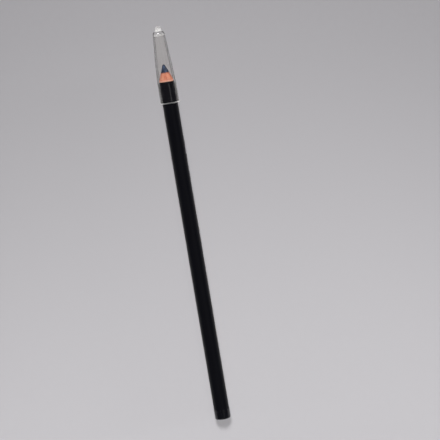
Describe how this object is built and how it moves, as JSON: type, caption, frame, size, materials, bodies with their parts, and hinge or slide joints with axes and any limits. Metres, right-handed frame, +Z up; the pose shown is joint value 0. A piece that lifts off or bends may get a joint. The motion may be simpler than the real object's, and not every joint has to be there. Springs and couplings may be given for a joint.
{
  "type": "eyeliner pencil",
  "caption": "Slim round wood-cased cosmetic pencil with a sharpened pigment core, black lacquered barrel and a clear tapered push-on cap.",
  "frame": {"origin": "under the middle of the overall length, on the surface that the cap's rim lies on", "axes": "+X along the pencil towards its point and cap, +Z up, the pencil's axis parallel to X"},
  "size_m": [0.1964, 0.0098, 0.0098],
  "materials": {
    "cedar": "knife-cut bare wood",
    "glue": "dried glue line",
    "pigment": "waxy, dark navy",
    "primer": "pale base coat, cut edge",
    "lacquer": "satin black lacquer",
    "clear_cap": "clear, polished"
  },
  "bodies": {
    "pencil": {"upper_slat": "cedar", "lower_slat": "cedar", "left_glue_seam": "glue", "right_glue_seam": "glue", "core": "pigment", "primer_coat": "primer", "lacquer_coat": "lacquer", "tail_dip": "lacquer"},
    "cap": {"cap": "clear_cap"}
  },
  "joints": [
    {"name": "cap_pull", "type": "slide", "parent": "pencil", "child": "cap", "axis": [1, 0, 0], "range_m": [0, 0.03]}
  ]
}
